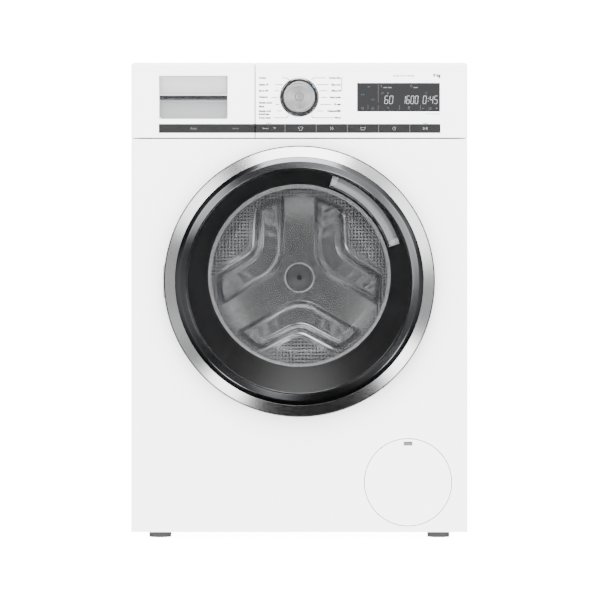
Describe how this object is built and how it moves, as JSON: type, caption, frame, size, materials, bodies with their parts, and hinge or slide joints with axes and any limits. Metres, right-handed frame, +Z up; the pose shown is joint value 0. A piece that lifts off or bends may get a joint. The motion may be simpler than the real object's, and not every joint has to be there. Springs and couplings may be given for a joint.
{
  "type": "front load washing machine",
  "caption": "Freestanding front load washing machine with a round glass door, detergent drawer, turning dial, display, touch keys, suspended tub and belt-driven drum.",
  "frame": {"origin": "on the floor under the middle of the machine's bounding box", "axes": "+X to the right, +Y to the back, +Z up; the door faces -Y"},
  "size_m": [0.598, 0.632, 0.848],
  "materials": {
    "white_enamel": "gloss enamel",
    "rear_sheet": "plain coated",
    "white_plastic": "satin",
    "door_frame_plastic": "satin",
    "satin_chrome": "satin",
    "dark_chrome": "satin",
    "bright_chrome": "polished",
    "black_gloss": "gloss",
    "display_black": "gloss",
    "grip_plastic": "satin",
    "bowl_glass": "clear",
    "dial_metal": "brushed",
    "button_plastic": "satin",
    "key_dark": "satin",
    "grey_plastic": "matte",
    "drawer_plastic": "matte",
    "filter_plastic": "matte",
    "dark_rubber": "matte",
    "grey_rubber": "matte",
    "zinc_steel": "zinc",
    "bearing_steel": "ground",
    "stainless": "brushed",
    "paddle_plastic": "satin",
    "cast_aluminium": "as cast",
    "motor_case": "as cast",
    "concrete": "rough",
    "board_green": "matte"
  },
  "bodies": {
    "cabinet": {"side_panels": "white_enamel", "rear_panel": "rear_sheet", "rear_service_cover": "rear_sheet", "cabinet_screws": "zinc_steel", "base_pan": "grey_plastic", "levelling_feet": "dark_rubber", "front_panel": "white_enamel", "worktop": "white_plastic", "top_rails": "zinc_steel", "suspension_springs": "zinc_steel", "transport_bolt_caps": "grey_plastic", "inlet_valve": "grey_plastic", "mains_inlet": "grey_plastic", "control_panel": "white_plastic", "display_window": "display_black", "control_board": "board_green", "dial_bezel": "dark_chrome", "dispenser_housing": "grey_plastic", "hinge_bracket": "zinc_steel", "door_lock": "grey_plastic", "door_gasket": "grey_rubber", "damper_cylinders": "grey_plastic", "drain_pump": "grey_plastic", "drain_hose": "grey_rubber", "tub_hoses": "grey_rubber"},
    "door": {"door_outer_ring": "satin_chrome", "door_inner_ring": "dark_chrome", "door_funnel": "black_gloss", "door_grip": "grip_plastic", "door_glass": "bowl_glass", "door_rear_frame": "door_frame_plastic", "door_hinge_arm": "zinc_steel", "door_hook": "zinc_steel"},
    "tub": {"tub_front": "grey_plastic", "tub_rear": "grey_plastic", "counterweights": "concrete", "drum_bearings": "bearing_steel", "heating_element": "zinc_steel", "drive_motor": "motor_case", "damper_rods": "zinc_steel", "drive_belt": "dark_rubber"},
    "drum": {"drum_shell": "stainless", "drum_back": "stainless", "drum_paddles": "paddle_plastic", "drum_spider": "cast_aluminium", "drum_pulley": "cast_aluminium"},
    "motor": {"motor_rotor": "zinc_steel"},
    "drawer": {"drawer_front": "white_plastic", "drawer_tray": "drawer_plastic", "drawer_trim": "bright_chrome"},
    "dial": {"program_dial": "dial_metal"},
    "button": {"power_button": "button_plastic"},
    "key_body_1": {"key_1": "key_dark"},
    "key_body_2": {"key_2": "key_dark"},
    "key_body_3": {"key_3": "key_dark"},
    "key_body_4": {"key_4": "key_dark"},
    "key_body_5": {"key_5": "key_dark"},
    "key_body_6": {"key_6": "key_dark"},
    "flap": {"service_flap": "white_plastic"},
    "filter": {"pump_filter": "filter_plastic"}
  },
  "joints": [
    {"name": "door_swing", "type": "hinge", "parent": "cabinet", "child": "door", "pos_m": [-0.2385, -0.296, 0.4585], "axis": [0, 0, -1], "range_deg": [0, 171]},
    {"name": "tub_suspension", "type": "slide", "parent": "cabinet", "child": "tub", "axis": [0, 0, 1], "range_m": [-0.01, 0.01], "stiffness_N_per_m": 10000, "springref_m": 0.03732, "deforming": ["suspension_springs", "door_gasket", "tub_hoses"]},
    {"name": "drum_spin", "type": "hinge", "parent": "tub", "child": "drum", "pos_m": [0, 0.1, 0.469], "axis": [0, 1, 0], "continuous": true},
    {"name": "motor_spin", "type": "hinge", "parent": "tub", "child": "motor", "pos_m": [-0.04, 0.2, 0.146], "axis": [0, 1, 0], "continuous": true},
    {"name": "drawer_slide", "type": "slide", "parent": "cabinet", "child": "drawer", "axis": [0, -1, 0], "range_m": [0, 0.22]},
    {"name": "program_turn", "type": "hinge", "parent": "cabinet", "child": "dial", "pos_m": [0, -0.274, 0.7858], "axis": [0, 1, 0], "continuous": true},
    {"name": "power_press", "type": "slide", "parent": "cabinet", "child": "button", "axis": [0, 1, 0], "range_m": [0, 0.0015], "stiffness_N_per_m": 600, "springref_m": -0.001},
    {"name": "key_1_press", "type": "slide", "parent": "cabinet", "child": "key_body_1", "axis": [0, 1, 0], "range_m": [0, 0.001], "stiffness_N_per_m": 800, "springref_m": -0.001},
    {"name": "key_2_press", "type": "slide", "parent": "cabinet", "child": "key_body_2", "axis": [0, 1, 0], "range_m": [0, 0.001], "stiffness_N_per_m": 800, "springref_m": -0.001},
    {"name": "key_3_press", "type": "slide", "parent": "cabinet", "child": "key_body_3", "axis": [0, 1, 0], "range_m": [0, 0.001], "stiffness_N_per_m": 800, "springref_m": -0.001},
    {"name": "key_4_press", "type": "slide", "parent": "cabinet", "child": "key_body_4", "axis": [0, 1, 0], "range_m": [0, 0.001], "stiffness_N_per_m": 800, "springref_m": -0.001},
    {"name": "key_5_press", "type": "slide", "parent": "cabinet", "child": "key_body_5", "axis": [0, 1, 0], "range_m": [0, 0.001], "stiffness_N_per_m": 800, "springref_m": -0.001},
    {"name": "key_6_press", "type": "slide", "parent": "cabinet", "child": "key_body_6", "axis": [0, 1, 0], "range_m": [0, 0.001], "stiffness_N_per_m": 800, "springref_m": -0.001},
    {"name": "flap_tip", "type": "hinge", "parent": "cabinet", "child": "flap", "pos_m": [0.1932, -0.27, 0.0184], "axis": [1, 0, 0], "range_deg": [0, 90]},
    {"name": "filter_turn", "type": "hinge", "parent": "cabinet", "child": "filter", "pos_m": [0.1932, -0.254, 0.1014], "axis": [0, -1, 0], "range_deg": [0, 120]}
  ],
  "couplings": [
    {"joint": "motor_spin", "follows": "drum_spin", "ratio": 12}
  ]
}
